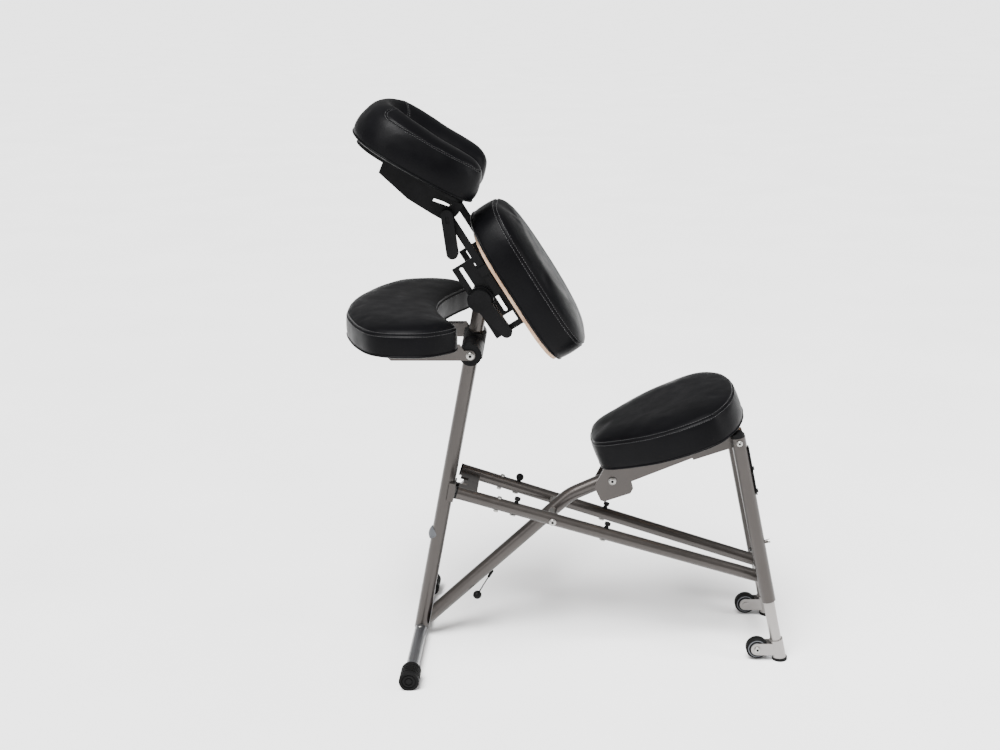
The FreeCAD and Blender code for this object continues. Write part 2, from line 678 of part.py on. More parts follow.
def chest_plate():
    """A slotted side plate with a window, a hole, a back flange and the guide for a cradle link."""
    inner, outer = PLATE_Y
    (s0, s1), (t0, t1) = PLATE_S, PLATE_T
    plate = slab([(s0, t0), (s1, t0), (s1, t1), (s0, t1)], inner, outer)
    slot_r = CLAMP_BOLT_R + 0.12
    ends = [(SLOT_S[0] + slot_r, 0), (SLOT_S[1] - slot_r, 0)]
    for end in ends:
        plate = plate.cut(cross_rod(end, inner - 2, outer + 2, slot_r))
    plate = plate.cut(block((ends[0][0], ends[1][0]), (inner - 2, outer + 2), (-slot_r, slot_r)))
    plate = plate.cut(block((12, 78), (inner - 2, outer + 2), (20, 44)))
    plate = plate.cut(cross_rod((-69, 28.5), inner - 2, outer + 2, 3.5))
    plate = plate.fuse(block((s0, s1), (72, outer), (t1, t1 + 3)))
    guide = block(GUIDE_S, (outer, 105.5), (LINK_MIDDLE - LINK_HALF - 2.4, t1))
    guide = guide.cut(block((-70, -30), (LINK_Y[0] - GAP, LINK_Y[1] + GAP),
                            (LINK_MIDDLE - LINK_HALF - GAP, LINK_MIDDLE + LINK_HALF + GAP)))
    plate = plate.fuse(guide)
    for s in (-70, 5, 80):
        plate = plate.cut(rod(V(s, 81, 40), V(s, 81, 70), 2.5))
    return in_chest(plate)


def chest_bolts():
    """Hold the plates' flanges to the board."""
    bolts = []
    for s in (-70, 5, 80):
        shank = rod(V(s, 81, PLATE_T[1] - 3), V(s, 81, CHEST_BOARD_T[1] - 1), 2.5)
        bolts.append(in_chest(shank.fuse(rod(V(s, 81, PLATE_T[1] - 3), V(s, 81, PLATE_T[1]), 4.5))))
    return Part.makeCompound(bolts)


def chest_board():
    (s0, s1), half = CHEST_BOARD_S, CHEST_BOARD_HALF
    corners = [(s0, -half, 95), (s0, half, 95), (s1, half, 105), (s1, -half, 105)]
    board = in_chest(outline_plate(corners, *CHEST_BOARD_T))
    for bolt in both(chest_bolts()).Solids:
        board = board.cut(bolt)
    return board


def chest_pad():
    (s0, s1), half = CHEST_PAD_S, CHEST_PAD_HALF
    corners = [(s0, -half, 110), (s0, half, 110), (s1, half, 120), (s1, -half, 120)]
    pad = outline_plate(corners, CHEST_BOARD_T[1], CHEST_PAD_TOP)
    return in_chest(rounded_top(pad, CHEST_PAD_TOP, 20))


# ------------------------------------------------------------------ face cradle

def cradle_pivot_in_chest():
    """The cradle pivot in the chest pad's own frame."""
    tilt = math.radians(CHEST_TILT)
    dx, dz = CRADLE_PIVOT[0] - HUB[0], CRADLE_PIVOT[1] - HUB[1]
    return (dx * math.cos(tilt) - dz * math.sin(tilt), dx * math.sin(tilt) + dz * math.cos(tilt))


def cradle_link():
    """A flat bar from the cradle's pivot down into its guide."""
    pivot = cradle_pivot_in_chest()
    inner, outer = LINK_Y
    bar = slab([(pivot[0], LINK_MIDDLE - LINK_HALF), (LINK_END, LINK_MIDDLE - LINK_HALF),
                (LINK_END, LINK_MIDDLE + LINK_HALF), (pivot[0], LINK_MIDDLE + LINK_HALF)], inner, outer)
    bar = in_chest(bar.fuse(cross_rod(pivot, inner, outer, LINK_HALF + 1.5)))
    return bar.cut(cross_rod(CRADLE_PIVOT, 60, 120, CRADLE_ROD_R))


def cradle_rod():
    """The pivot rod, with a nut on the right and the cam lever on the left."""
    shape = cross_rod(CRADLE_PIVOT, -113, 106, CRADLE_ROD_R)
    return shape.fuse(cross_rod(CRADLE_PIVOT, LINK_Y[1], 106, 9))


def cradle_lever():
    lever = lever_outline(92, 12.5, 12.3, 83, CRADLE_PIVOT, -101.4, -118)
    recess = tilted(block((2, 16), (-119, -116), (-3.6, 3.6)), CRADLE_PIVOT, 83)
    return lever.cut(cross_rod(CRADLE_PIVOT, -113.2, -90, CRADLE_ROD_R + RUNNING)).cut(recess)


def cradle_arm():
    """A moulded arm under the platform, with a see-through slot above the pivot."""
    inner, outer = CRADLE_ARM_Y
    outline = [(-55, -10), (-52, -36), (25, -55), (84, -58), (112, -58), (126, -48), (131, -30), (131, -10)]
    arm = in_cradle(slab(outline, inner, outer).cut(slab([(72, -35), (110, -28), (110, -20), (72, -27)], 80, 100)))
    return arm.cut(cross_rod(CRADLE_PIVOT, 60, 120, CRADLE_ROD_R + RUNNING))


def face_opening(front, half, z0, z1):
    """The gap for the face, open towards the chin end."""
    gap = block((front, 200), (-half, half), (z0, z1))
    return gap.fuse(Part.makeCylinder(half, z1 - z0, V(front, 0, z0)))


def cradle_platform():
    corners = [(-125, -118, 80), (-125, 118, 80), (128, 112, 45), (128, -112, 45)]
    plate = outline_plate(corners, -10, -3)
    return in_cradle(plate.cut(face_opening(-25, FACE_HALF + 8, -12, 0)))


def cradle_pad():
    (s0, s1), half = CRADLE_S, CRADLE_HALF
    corners = [(s0, -half, 115), (s0, half, 115), (s1, half - 8, 60), (s1, -half + 8, 60)]
    pad = outline_plate(corners, 0, CRADLE_THICK)
    pad = pad.cut(face_opening(-30, FACE_HALF, -1, CRADLE_THICK + 1))
    return in_cradle(rounded_top(pad, CRADLE_THICK, 16))


# ------------------------------------------------------------------ every part

def parts():
    yield "rail_end_caps", rail_end_caps()
    yield "front_cross_plate", front_cross_plate()
    yield "front_hinge_pin", front_hinge_pin()
    yield "rear_cross_tube", rear_cross_tube()
    yield "kneeler_studs", kneeler_studs()
    yield "stud_knobs", stud_knobs()
    yield "cross_pivot_bolt", cross_pivot_bolt()
    yield "front_post", front_post()
    yield "post_bumper", post_bumper()
    yield "t_bar", t_bar()
    yield "t_bar_caps", both(t_bar_cap())
    yield "post_top_barrel", post_top_barrel()
    yield "front_hinge_block", front_hinge_block()
    yield "seat_strut", seat_strut()
    yield "release_ferrule", release_ferrule()
    yield "release_rod", release_rod()
    yield "release_knob", release_knob()
    yield "leg_bushes", both(leg_pivot_bush(1))
    yield "leg_top_bolts", both(leg_top_bolt())
    yield "leg_strips", both(Part.makeCompound(leg_strip()))
    yield "leg_top_plugs", both(leg_top_plug())
    for name, side in SIDES:
        yield "side_rail_" + name, side_rail(side)
        yield "rear_leg_" + name, rear_leg(side)
        yield "leg_pin_" + name, leg_pin(side)
        yield "inner_leg_" + name, inner_leg(side)
        yield "wheel_bracket_" + name, wheel_bracket(side)
        yield "foot_pad_" + name, foot_pad(side)
        yield "wheel_hub_" + name, wheel_hub(side)
        yield "tyre_" + name, tyre(side)
    yield "seat_channel", seat_channel()
    yield "seat_arms", both(seat_arm())
    yield "seat_bolts", both(seat_bolt())
    yield "seat_board", seat_board()
    yield "seat_pad", seat_pad()
    yield "armrest_barrel", armrest_barrel()
    yield "armrest_arms", both(armrest_arm())
    yield "armrest_bolts", both(armrest_bolt())
    yield "armrest_board", armrest_board()
    yield "armrest_pad", armrest_pad()
    yield "chest_clamp_bolt", chest_clamp_bolt()
    yield "clamp_washers", clamp_washers()
    yield "clamp_lever", clamp_lever()
    yield "chest_plates", both(chest_plate())
    yield "chest_bolts", both(chest_bolts())
    yield "chest_board", chest_board()
    yield "chest_pad", chest_pad()
    yield "cradle_links", both(cradle_link())
    yield "cradle_rod", cradle_rod()
    yield "cradle_lever", cradle_lever()
    yield "cradle_arms", both(cradle_arm())
    yield "cradle_platform", cradle_platform()
    yield "cradle_pad", cradle_pad()


def main():
    os.makedirs("parts", exist_ok=True)
    for name, shape in parts():
        shape = Part.makeCompound([solid.copy() for solid in shape.Solids])
        shape.translate(V(-ORIGIN_X, 0, 0))
        bounds = shape.BoundBox
        print(f"{name:20s} {len(shape.Solids)} solids, valid {shape.isValid()}, "
              f"X {bounds.XMin:.1f} to {bounds.XMax:.1f}, Z {bounds.ZMin:.1f} to {bounds.ZMax:.1f}")
        shape.exportStep(f"parts/{name}.step")


if __name__ == "__main__":
    main()
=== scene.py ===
"""The looks of the folding kneeling massage chair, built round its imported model. Metres."""
import json
import math

import bmesh
import bpy
from mathutils import Matrix, Vector, noise
from mathutils.bvhtree import BVHTree
from mathutils.kdtree import KDTree


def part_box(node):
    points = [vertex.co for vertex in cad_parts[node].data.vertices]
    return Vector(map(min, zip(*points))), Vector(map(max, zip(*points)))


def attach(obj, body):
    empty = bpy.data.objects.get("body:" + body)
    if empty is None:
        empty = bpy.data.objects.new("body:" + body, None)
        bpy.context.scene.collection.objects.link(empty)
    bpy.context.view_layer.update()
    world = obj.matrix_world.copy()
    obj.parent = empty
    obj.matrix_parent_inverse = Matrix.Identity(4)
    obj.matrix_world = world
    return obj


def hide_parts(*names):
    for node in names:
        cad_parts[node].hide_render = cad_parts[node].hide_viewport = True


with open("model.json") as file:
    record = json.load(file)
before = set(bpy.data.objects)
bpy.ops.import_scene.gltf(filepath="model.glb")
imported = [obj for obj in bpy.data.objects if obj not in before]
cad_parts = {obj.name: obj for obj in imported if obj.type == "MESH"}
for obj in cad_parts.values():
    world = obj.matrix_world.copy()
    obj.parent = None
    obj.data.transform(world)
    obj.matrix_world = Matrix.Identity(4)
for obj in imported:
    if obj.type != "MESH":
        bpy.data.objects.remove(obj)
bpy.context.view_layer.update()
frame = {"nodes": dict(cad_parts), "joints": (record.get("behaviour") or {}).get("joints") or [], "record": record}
nodes = frame["nodes"]
MM = 0.001
SIDES = (("left", -1), ("right", 1))
NOISE_LOW, NOISE_HIGH = 0.3, 0.7  # where nearly all of a noise texture's values lie


# ------------------------------------------------------------------ materials

class Shader:
    """A Principled material whose colour, roughness and bump come from procedural textures."""

    def __init__(self, name, roughness=0.5, **constants):
        self.material = bpy.data.materials.new(name)
        self.material.use_nodes = True
        self.tree = self.material.node_tree
        self.principled = self.tree.nodes["Principled BSDF"]
        self.principled.inputs["Roughness"].default_value = roughness
        for socket, value in constants.items():
            self.principled.inputs[socket.replace("_", " ")].default_value = value
        self.coordinates = self.tree.nodes.new("ShaderNodeTexCoord").outputs["Object"]
        self.height = None

    def node(self, kind, **inputs):
        made = self.tree.nodes.new("ShaderNode" + kind)
        for socket, value in inputs.items():
            made.inputs[socket.replace("_", " ")].default_value = value
        return made

    def link(self, source, target):
        self.tree.links.new(source, target)

    def noise(self, scale, detail=3.0, stretch=(1, 1, 1)):
        mapping = self.node("Mapping")
        mapping.inputs["Scale"].default_value = stretch
        self.link(self.coordinates, mapping.inputs["Vector"])
        texture = self.node("TexNoise", Scale=scale, Detail=detail)
        self.link(mapping.outputs["Vector"], texture.inputs["Vector"])
        return texture.outputs["Fac"]

    def cells(self, scale):
        texture = self.node("TexVoronoi", Scale=scale)
        self.link(self.coordinates, texture.inputs["Vector"])
        return texture.outputs["Distance"]

    def spread(self, value, low, high):
        ramp = self.node("MapRange", From_Min=NOISE_LOW, From_Max=NOISE_HIGH, To_Min=low, To_Max=high)
        self.link(value, ramp.inputs["Value"])
        return ramp.outputs["Result"]

    def colour(self, value, dark, light):
        ramp = self.node("ValToRGB")
        ramp.color_ramp.elements[0].position = NOISE_LOW
        ramp.color_ramp.elements[1].position = NOISE_HIGH
        ramp.color_ramp.elements[0].color = (*dark, 1)
        ramp.color_ramp.elements[1].color = (*light, 1)
        self.link(value, ramp.inputs["Fac"])
        return ramp.outputs["Color"]

    def base(self, colour):
        self.link(colour, self.principled.inputs["Base Color"])

    def rough(self, value, low, high):
        self.link(self.spread(value, low, high), self.principled.inputs["Roughness"])

    def bump(self, value, strength, distance):
        bump = self.node("Bump", Strength=strength, Distance=distance)
        self.link(value, bump.inputs["Height"])
        if self.height:
            self.link(self.height, bump.inputs["Normal"])
        self.height = bump.outputs["Normal"]
        self.link(self.height, self.principled.inputs["Normal"])


def coated_tube(name, dark, light, metallic=0.7, roughness=(0.31, 0.37)):
    """Clear-coated metallic paint: a fine orange peel and faint cloudy shade changes."""
    shader = Shader(name, Metallic=metallic, Specular_IOR_Level=0.3,
                    Coat_Weight=0.22, Coat_Roughness=0.22)
    shader.base(shader.colour(shader.noise(6, 2), dark, light))
    shader.rough(shader.noise(60, 4), *roughness)
    shader.bump(shader.noise(1400, 2), 0.10, 0.0002)
    return shader.material


def vinyl(name, dark, light):
    """Soft upholstery vinyl with a fine pebbled grain."""
    shader = Shader(name, Specular_IOR_Level=0.055)
    shader.base(shader.colour(shader.noise(9, 3), dark, light))
    shader.rough(shader.noise(30, 4), 0.36, 0.47)
    shader.bump(shader.cells(620), 0.22, 0.0004)
    shader.bump(shader.noise(1500, 2), 0.10, 0.0002)
    shader.bump(shader.noise(38, 3), 0.025, 0.002)
    return shader.material


def moulded(name, dark, light, roughness=(0.42, 0.56), grain=900.0):
    """Grained black plastic, rubber or powder coat."""
    shader = Shader(name, Specular_IOR_Level=0.07)
    shader.base(shader.colour(shader.noise(25, 3), dark, light))
    shader.rough(shader.noise(80, 3), *roughness)
    shader.bump(shader.noise(grain, 3), 0.18, 0.0003)
    return shader.material


def plated(name, dark, light):
    shader = Shader(name, Metallic=1.0)
    shader.base(shader.colour(shader.noise(45, 5), dark, light))
    shader.rough(shader.noise(180, 4), 0.28, 0.42)
    shader.bump(shader.noise(700, 3), 0.08, 0.0003)
    return shader.material


def plywood(name):
    """Pale wood with its grain drawn out along one way."""
    shader = Shader(name)
    grain = shader.noise(34, 6, (1, 9, 1))
    shader.base(shader.colour(grain, (0.34, 0.20, 0.12), (0.56, 0.38, 0.25)))
    shader.rough(shader.noise(90, 3), 0.5, 0.66)
    shader.bump(grain, 0.2, 0.0004)
    return shader.material


def thread(name):
    shader = Shader(name, Sheen_Weight=0.3)
    shader.base(shader.colour(shader.noise(900, 2), (0.005, 0.005, 0.0055), (0.011, 0.011, 0.012)))
    shader.rough(shader.noise(500, 2), 0.55, 0.7)
    shader.bump(shader.noise(2400, 2), 0.3, 0.0002)
    return shader.material


LOOKS = {
    "bronze_tube": coated_tube("bronze_tube_coat", (0.040, 0.0352, 0.0325), (0.048, 0.0425, 0.0395)),
    "light_tube": coated_tube("light_tube_coat", (0.070, 0.071, 0.075), (0.085, 0.086, 0.091)),
    "silver_tube": coated_tube("silver_tube_coat", (0.22, 0.208, 0.20), (0.25, 0.237, 0.228),
                               metallic=0.8, roughness=(0.32, 0.40)),
    "black_steel": moulded("black_steel_coat", (0.0018, 0.0018, 0.0020), (0.0036, 0.0036, 0.0039),
                           roughness=(0.32, 0.44), grain=1400.0),
    "black_plastic": moulded("black_plastic", (0.0018, 0.0018, 0.0020), (0.0036, 0.0036, 0.0039)),
    "black_rubber": moulded("black_rubber", (0.0025, 0.0025, 0.0025), (0.0050, 0.0050, 0.0050),
                            roughness=(0.55, 0.72), grain=1300.0),
    "grey_rubber": moulded("grey_rubber", (0.07, 0.073, 0.08), (0.09, 0.093, 0.10),
                           roughness=(0.45, 0.6), grain=1300.0),
    "zinc": plated("zinc_plate", (0.24, 0.235, 0.225), (0.36, 0.355, 0.34)),
    "black_vinyl": vinyl("black_vinyl", (0.0010, 0.0010, 0.0013), (0.0022, 0.0022, 0.0027)),
    "plywood": plywood("plywood"),
}
THREAD = thread("black_thread")

for part in frame["record"]["subparts"]:
    mesh = nodes[part["node"]].data
    mesh.materials.clear()
    mesh.materials.append(LOOKS[part["material_slot"]])
# The release rod is black, though its slot in the record is zinc.
nodes["release_rod"].data.materials[0] = LOOKS["black_steel"]


# ------------------------------------------------------------------ places from the frame

def shells(node):
    """The corners of the box round each separate solid of a node."""
    bm = bmesh.new()
    bm.from_mesh(nodes[node].data)
    bm.transform(nodes[node].matrix_world)
    bmesh.ops.remove_doubles(bm, verts=bm.verts[:], dist=0.00002)
    found, seen = [], set()
    for start in bm.verts:
        if start in seen:
            continue
        seen.add(start)
        group, waiting = [], [start]
        while waiting:
            v = waiting.pop()
            group.append(v.co.copy())
            for near in (edge.other_vert(v) for edge in v.link_edges):
                if near not in seen:
                    seen.add(near)
                    waiting.append(near)
        found.append([Vector([corner(co[k] for co in group) for k in range(3)]) for corner in (min, max)])
    bm.free()
    return found


def joint(name):
    return next(j for j in frame["joints"] if j["name"] == name)


# ------------------------------------------------------------------ pieces

GRID = 0.009  # spacing of a pad's first, coarse mesh
VOXEL = 0.005
CLOTH_FRAMES = 20
SEAM_DEPTH = 1.5 * MM
SEAM_WIDTH = 1.7 * MM
LIP = 0.35  # height of the soft lip beside a seam, as a share of the seam's depth
UNEVENNESS = 0.3 * MM
PIPING_RADIUS = 2.2 * MM


def new_object(name, mesh, body, look):
    """A piece with its material that rides on a body."""
    piece = bpy.data.objects.new(name, mesh)
    bpy.context.scene.collection.objects.link(piece)
    mesh.materials.append(look)
    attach(piece, body)
    return piece


def finished_mesh(name, bm):
    """The mesh of a bmesh, with its normals turned outwards."""
    bmesh.ops.recalc_face_normals(bm, faces=bm.faces[:])
    mesh = bpy.data.meshes.new(name)
    bm.to_mesh(mesh)
    bm.free()
    return mesh


def smooth(mesh):
    mesh.polygons.foreach_set("use_smooth", [True] * len(mesh.polygons))


def catmull_rom(a, b, c, d, t):
    """A point at the share t of the way from b to c, on a smooth curve through all four."""
    return 0.5 * (2 * b + (c - a) * t + (2 * a - 5 * b + 4 * c - d) * t * t
                  + (3 * b - a - 3 * c + d) * t * t * t)


def closed_curve(points, count):
    """Evenly spaced points on a smooth closed curve through the given ones."""
    fine = []
    steps = 12
    total = len(points)
    for i in range(total):
        a, b, c, d = (Vector(points[(i + k - 1) % total]) for k in range(4))
        fine += [catmull_rom(a, b, c, d, step / steps) for step in range(steps)]
    lengths = [0.0]
    for i in range(len(fine)):
        lengths.append(lengths[-1] + (fine[(i + 1) % len(fine)] - fine[i]).length)
    result, k = [], 0
    for i in range(count):
        goal = lengths[-1] * i / count
        while lengths[k + 1] < goal:
            k += 1
        share = (goal - lengths[k]) / (lengths[k + 1] - lengths[k])
        result.append(fine[k].lerp(fine[(k + 1) % len(fine)], share))
    return result


def both_halves(half):
    """A closed outline from its half with positive Y, which starts and ends at Y = 0."""
    return half + [(x, -y) for x, y in reversed(half[1:-1])]


def outward(outline, i):
    """The outward direction of an outline that runs anticlockwise."""
    ahead, behind = outline[(i + 1) % len(outline)], outline[i - 1]
    return Vector((ahead.y - behind.y, behind.x - ahead.x)).normalized()


def inside_distance(point, outline):
    """Distance from a point to the outline's nearest segment."""
    best = 1e9
    for i, a in enumerate(outline):
        b = outline[(i + 1) % len(outline)]
        ab = b - a
        t = max(0.0, min(1.0, (point - a).dot(ab) / ab.length_squared))
        best = min(best, (a + ab * t - point).length_squared)
    return math.sqrt(best)


def filled_outline(outline):
    """A flat face inside the outline, cut into a grid."""
    bm = bmesh.new()
    bm.faces.new([bm.verts.new((p.x, p.y, 0)) for p in outline])
    for axis in (0, 1):
        low = min(p[axis] for p in outline)
        high = max(p[axis] for p in outline)
        for i in range(1, int((high - low) / GRID) + 1):
            at = Vector((0, 0, 0))
            at[axis] = low + i * GRID
            normal = Vector((0, 0, 0))
            normal[axis] = 1
            bmesh.ops.bisect_plane(bm, geom=bm.verts[:] + bm.edges[:] + bm.faces[:],
                                   plane_co=at, plane_no=normal, dist=1e-6)
    return bm


def raw_pad(outline, side, crown, reach, puff, lift_from=None):
    """The pad before it swells: a side wall that leans out a little and a crowned top."""
    bm = filled_outline(outline)
    for face in bm.faces:
        if face.normal.z < 0:
            face.normal_flip()
    bottom = bm.faces[:]
    top = bmesh.ops.duplicate(bm, geom=bm.verts[:] + bm.edges[:] + bm.faces[:])
    for face in bottom:
        face.normal_flip()
    top_verts = [v for v in top["geom"] if isinstance(v, bmesh.types.BMVert)]
    for v in top_verts:
        edge = inside_distance(Vector((v.co.x, v.co.y)), outline)
        share = min(1.0, edge / reach)
        v.co.z = side + crown * math.sqrt(1 - (1 - share) ** 2)
        if lift_from:
            start, end, rise = lift_from
            v.co.z += rise * share * max(0.0, min(1.0, (v.co.x - start) / (end - start)))
    bmesh.ops.bridge_loops(bm, edges=[e for e in bm.edges if e.is_boundary])
    walls = [e for e in bm.edges if abs(e.verts[0].co.z - e.verts[1].co.z) > side * 0.5]
    bmesh.ops.subdivide_edges(bm, edges=walls, cuts=int(side / GRID))
    for v in bm.verts:
        if 1e-4 < v.co.z < side - 1e-4:
            bulge = math.sin(math.pi * v.co.z / side)
            nearest = min(range(len(outline)), key=lambda i: (outline[i] - v.co.xy).length_squared)
            out = outward(outline, nearest)
            v.co.x += out.x * puff * bulge
            v.co.y += out.y * puff * bulge
    return finished_mesh("raw_pad", bm)


def applied(piece):
    """Applies the piece's modifiers to its mesh."""
    graph = bpy.context.evaluated_depsgraph_get()
    mesh = bpy.data.meshes.new_from_object(piece.evaluated_get(graph))
    piece.modifiers.clear()
    old = piece.data
    piece.data = mesh
    bpy.data.meshes.remove(old)


def swell(mesh, cap, pressure, settle):
    """Blows the pad up as cloth, with its flat base held, and caps how far any point moves."""
    piece = bpy.data.objects.new("swelling", mesh)
    bpy.context.scene.collection.objects.link(piece)
    remesh = piece.modifiers.new("remesh", "REMESH")
    remesh.mode = "VOXEL"
    remesh.voxel_size = VOXEL
    applied(piece)
    relax = piece.modifiers.new("relax", "SMOOTH")
    relax.factor = 0.5
    relax.iterations = 4
    applied(piece)
    before = [v.co.copy() for v in piece.data.vertices]
    base = piece.vertex_groups.new(name="base")
    base.add([v.index for v in piece.data.vertices if v.co.z < VOXEL * 0.6], 1.0, "REPLACE")
    cloth = piece.modifiers.new("cloth", "CLOTH").settings
    cloth.vertex_group_mass = "base"
    cloth.use_pressure = True
    cloth.uniform_pressure_force = pressure
    cloth.effector_weights.gravity = 0
    cloth.quality = 6
    cloth.tension_stiffness = 45
    cloth.compression_stiffness = 45
    cloth.shear_stiffness = 20
    cloth.bending_stiffness = 9
    scene = bpy.context.scene
    for step in range(1, CLOTH_FRAMES + 1):
        scene.frame_set(step)
    applied(piece)
    scene.frame_set(1)
    for v, start in zip(piece.data.vertices, before):
        moved = v.co - start
        if moved.length > cap:
            v.co = start + moved * (cap / moved.length)
    relax = piece.modifiers.new("relax", "SMOOTH")
    relax.factor = 0.6
    relax.iterations = settle
    smoother = piece.modifiers.new("finer", "SUBSURF")
    smoother.levels = 1
    applied(piece)
    mesh = piece.data
    bpy.data.objects.remove(piece)
    return mesh


def seam_path(tree, outline, height):
    """Points on the pad's side at one height, with the surface normal at each."""
    found = []
    for i, p in enumerate(outline):
        out = outward(outline, i).to_3d()
        start = p.to_3d() + Vector((0, 0, height)) + out * 0.03
        hit, normal, _, _ = tree.ray_cast(start, -out, 0.06)
        if hit:
            found.append((hit, normal))
    return found


def reshape(mesh, move):
    """Moves every vertex to move(position, normal), with all normals read first."""
    normals = [v.normal.copy() for v in mesh.vertices]
    moved = [move(v.co.copy(), normal) for v, normal in zip(mesh.vertices, normals)]
    mesh.vertices.foreach_set("co", [value for co in moved for value in co])
    mesh.update()


def groove(away):
    """The share of a seam's depth at a distance from it, in seam widths, with a soft lip each side."""
    return math.exp(-away * away) - LIP * math.exp(-((abs(away) - 2.0) ** 2) / 0.6)


def press_seam(mesh, height, depth, width):
    """A sewn groove round the pad's side."""
    def pushed(co, normal):
        away = (co.z - height) / width
        if abs(away) > 4 or abs(normal.z) > 0.97:
            return co
        return co - normal * depth * groove(away)

    reshape(mesh, pushed)


def stitch_mesh(path, closed=True):
    """A row of short raised threads along a path."""
    radius, stitch, gap, lift = 0.00038, 0.0042, 0.0014, 0.00012
    # each thread's rings: share of its length, share of its radius, rise in radii
    rings_along = ((0.0, 0.35, -1.0), (0.16, 0.9, 0.0), (0.5, 1.0, 0.35), (0.84, 0.9, 0.0), (1.0, 0.35, -1.0))
    bm = bmesh.new()
    lengths = [0.0]
    total = len(path)
    for i in range(total if closed else total - 1):
        lengths.append(lengths[-1] + (path[(i + 1) % total][0] - path[i][0]).length)

    def at(distance):
        distance = distance % lengths[-1] if closed else min(distance, lengths[-1] - 1e-6)
        i = next(k for k in range(total) if lengths[k + 1] >= distance)
        share = (distance - lengths[i]) / max(1e-9, lengths[i + 1] - lengths[i])
        a, b = path[i], path[(i + 1) % total]
        return a[0].lerp(b[0], share), a[1].lerp(b[1], share).normalized()

    count = int(lengths[-1] / (stitch + gap))
    pitch = lengths[-1] / count
    for n in range(count):
        rings = []
        for share, thick, up in rings_along:
            where, normal = at(n * pitch + share * stitch)
            ahead, _ = at(n * pitch + share * stitch + 1e-4)
            behind, _ = at(n * pitch + share * stitch - 1e-4) if n or share else (where, normal)
            along = (ahead - behind).normalized()
            side = along.cross(normal).normalized()
            centre = where + normal * (lift + up * radius)
            spokes = [side * math.cos(k * math.pi / 3) + normal * math.sin(k * math.pi / 3) for k in range(6)]
            rings.append([bm.verts.new(centre + spoke * radius * thick) for spoke in spokes])
        for a, b in zip(rings, rings[1:]):
            for k in range(6):
                bm.faces.new((a[k], a[(k + 1) % 6], b[(k + 1) % 6], b[k]))
        bm.faces.new(rings[0][::-1])
        bm.faces.new(rings[-1])
    mesh = finished_mesh("stitches", bm)
    smooth(mesh)
    return mesh


def piping_mesh(path, radius, lift):
    """A piped cord along a closed path."""
    sides = 10
    bm = bmesh.new()
    total = len(path)
    rings = []
    for i in range(total):
        where, normal = path[i]
        along = (path[(i + 1) % total][0] - path[i - 1][0]).normalized()
        side = along.cross(normal).normalized()
        centre = where + normal * lift
        rings.append([bm.verts.new(centre + (side * math.cos(k * 2 * math.pi / sides)
                                             + normal * math.sin(k * 2 * math.pi / sides)) * radius)
                      for k in range(sides)])
    for i in range(total):
        a, b = rings[i], rings[(i + 1) % total]
        for k in range(sides):
            bm.faces.new((a[k], a[(k + 1) % sides], b[(k + 1) % sides], b[k]))
    mesh = finished_mesh("piping", bm)
    smooth(mesh)
    return mesh


def top_path(tree, line, side):
    """Points on the pad's top above an open line in its plan, each with the surface normal.

    The line is mirrored where side is -1.
    """
    control = [(x * MM, side * y * MM) for x, y in line]
    found = []
    for i in range(len(control) - 1):
        a, b, c, d = (Vector(control[min(len(control) - 1, max(0, i + k - 1))]) for k in range(4))
        for step in range(8):
            above = catmull_rom(a, b, c, d, step / 8).to_3d() + Vector((0, 0, 0.3))
            hit, normal, _, _ = tree.ray_cast(above, Vector((0, 0, -1)))
            if hit:
                found.append((hit, normal))
    return found


def press_line(mesh, path, depth, width):
    """A sewn groove along a line on the pad's surface."""
    line = KDTree(len(path) * 4)
    for i, (a, b) in enumerate(zip(path, path[1:])):
        for k in range(4):
            line.insert(a[0].lerp(b[0], k / 4), i * 4 + k)
    line.balance()

    def pushed(co, normal):
        away = line.find(co)[2] / width
        if away > 4:
            return co
        return co - normal * depth * groove(away)

    reshape(mesh, pushed)


def beside(path, distance):
    """The path moved sideways along the surface."""
    moved = []
    for i, (where, normal) in enumerate(path):
        along = path[min(i + 1, len(path) - 1)][0] - path[max(i - 1, 0)][0]
        moved.append((where + along.cross(normal).normalized() * distance, normal))
    return moved


def surface(mesh):
    return BVHTree.FromPolygons([v.co for v in mesh.vertices], [p.vertices[:] for p in mesh.polygons])


def stitch_rows(tree, outline, seams, top_seam):
    """The rows of stitches beside each seam round the pad's side, or beside the seams on its top."""
    for height in seams:
        for away in (-3.4 * MM, 3.4 * MM):
            yield stitch_mesh(seam_path(tree, outline, height * MM + away))
    if top_seam:
        for side, away in ((-1, -3.2), (-1, 3.2), (1, -3.2), (1, 3.2)):
            path = beside(top_path(tree, top_seam, side), away * MM)
            yield stitch_mesh([tree.find_nearest(where)[:2] for where, _ in path], closed=False)


